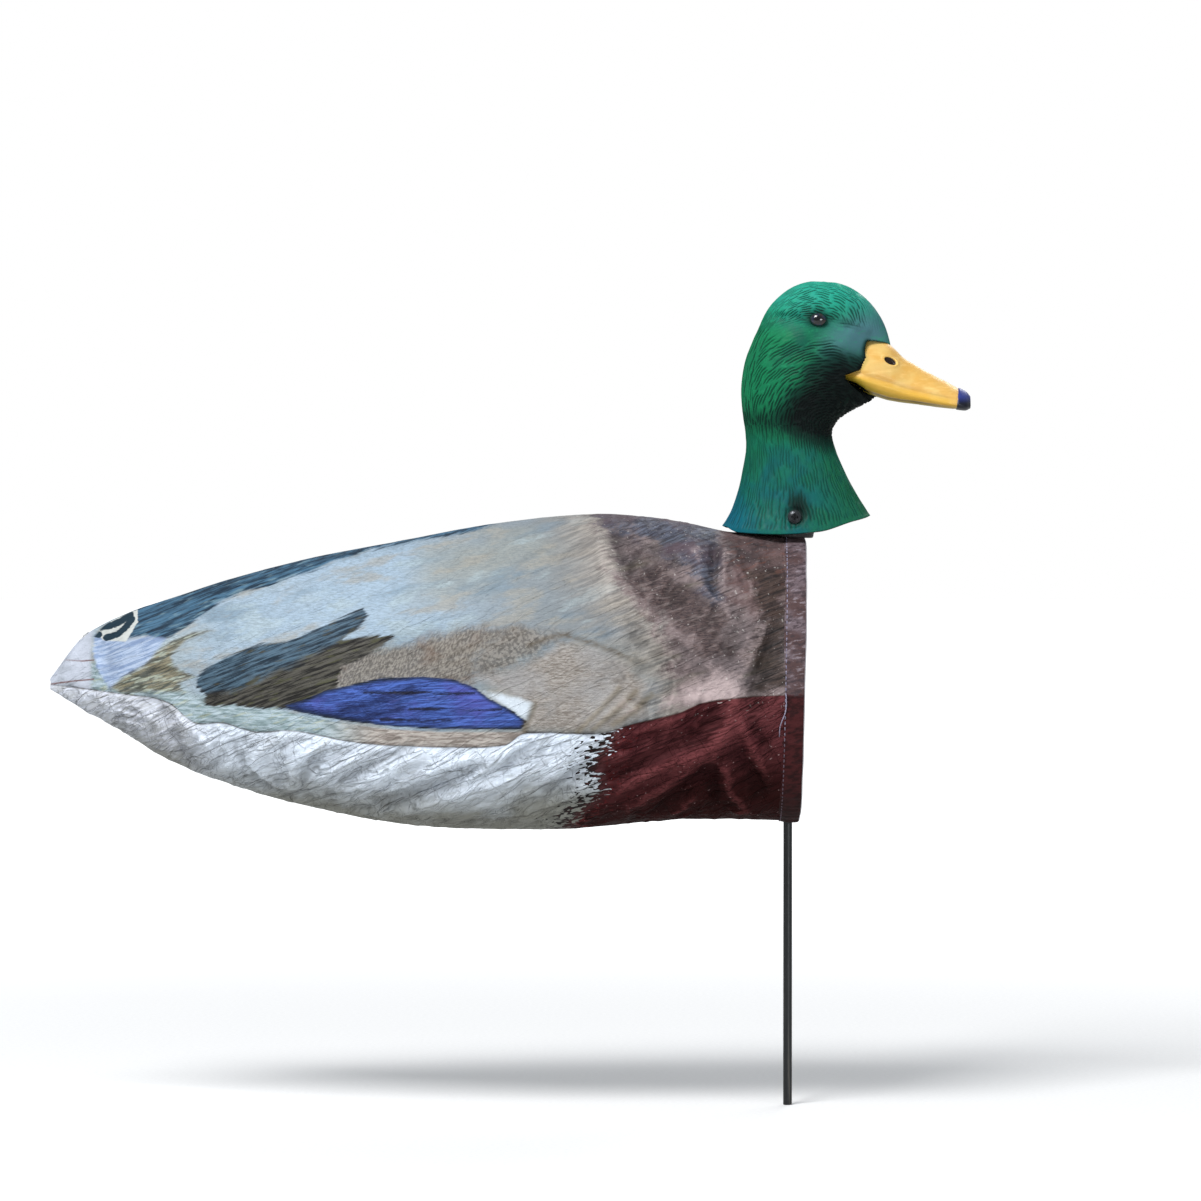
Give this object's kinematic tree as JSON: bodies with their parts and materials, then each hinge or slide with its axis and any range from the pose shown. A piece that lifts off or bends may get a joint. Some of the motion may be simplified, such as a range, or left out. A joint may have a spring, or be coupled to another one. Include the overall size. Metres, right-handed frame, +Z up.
{
  "type": "windsock duck decoy",
  "caption": "Wind-filled fabric duck body under a moulded head, open at the breast, turning on a thin upright ground stake.",
  "frame": {"origin": "centre of the flat foot of the stake", "axes": "+Z up along the stake, +X towards the bill, +Y to the bird's left"},
  "size_m": [0.6626, 0.1822, 0.5932],
  "materials": {
    "stake": "semi-gloss",
    "bearing_plastic": "smooth",
    "bracket_plastic": "moulded",
    "strip_plastic": "satin",
    "hem_fabric": "printed",
    "thread": "spun",
    "back_fabric": "printed",
    "belly_fabric": "printed",
    "rivet_metal": "satin",
    "head_paint": "satin paint",
    "bill_paint": "satin paint",
    "eye_gloss": "gloss",
    "bolt_black": "black oxide",
    "nut_steel": "zinc"
  },
  "bodies": {
    "stake": {"stake_rod": "stake"},
    "bearing": {"stake_cap": "bearing_plastic"},
    "collar": {"head_bracket": "bracket_plastic", "strip_clamp": "bracket_plastic", "collar_hoop": "strip_plastic", "hem_band": "hem_fabric", "hem_thread": "thread", "back_panel_front": "back_fabric", "belly_panel_front": "belly_fabric"},
    "head": {"head_shell": "head_paint", "bill": "bill_paint", "eye_right": "eye_gloss", "eye_left": "eye_gloss", "neck_bolt": "bolt_black", "neck_nut": "nut_steel"},
    "torso": {"backbone_strip": "strip_plastic", "body_arch": "strip_plastic", "arch_rivet": "rivet_metal", "back_panel_mid": "back_fabric", "belly_panel_mid": "belly_fabric"},
    "tail": {"back_panel_fold": "back_fabric", "belly_panel_fold": "belly_fabric", "back_panel_tail": "back_fabric", "belly_panel_tail": "belly_fabric"}
  },
  "joints": [
    {"name": "lift_off", "type": "slide", "parent": "stake", "child": "bearing", "axis": [0, 0, 1], "range_m": [0, 0.215]},
    {"name": "swivel", "type": "hinge", "parent": "bearing", "child": "collar", "pos_m": [0, 0, 0.41], "axis": [0, 0, 1], "continuous": true},
    {"name": "head_tilt", "type": "hinge", "parent": "collar", "child": "head", "pos_m": [0.0036, 0, 0.4245], "axis": [0, 1, 0], "range_deg": [-2, 8]},
    {"name": "body_lift", "type": "hinge", "parent": "collar", "child": "torso", "pos_m": [-0.045, 0, 0.405], "axis": [0, 1, 0], "range_deg": [-8, 10], "stiffness_Nm_per_rad": 8, "deforming": ["back_panel_front", "belly_panel_front", "backbone_strip"]},
    {"name": "tail_wag", "type": "hinge", "parent": "torso", "child": "tail", "pos_m": [-0.245, 0, 0.33], "axis": [0, 0, 1], "range_deg": [-18, 18], "stiffness_Nm_per_rad": 0.5, "deforming": ["back_panel_fold", "belly_panel_fold"]}
  ]
}
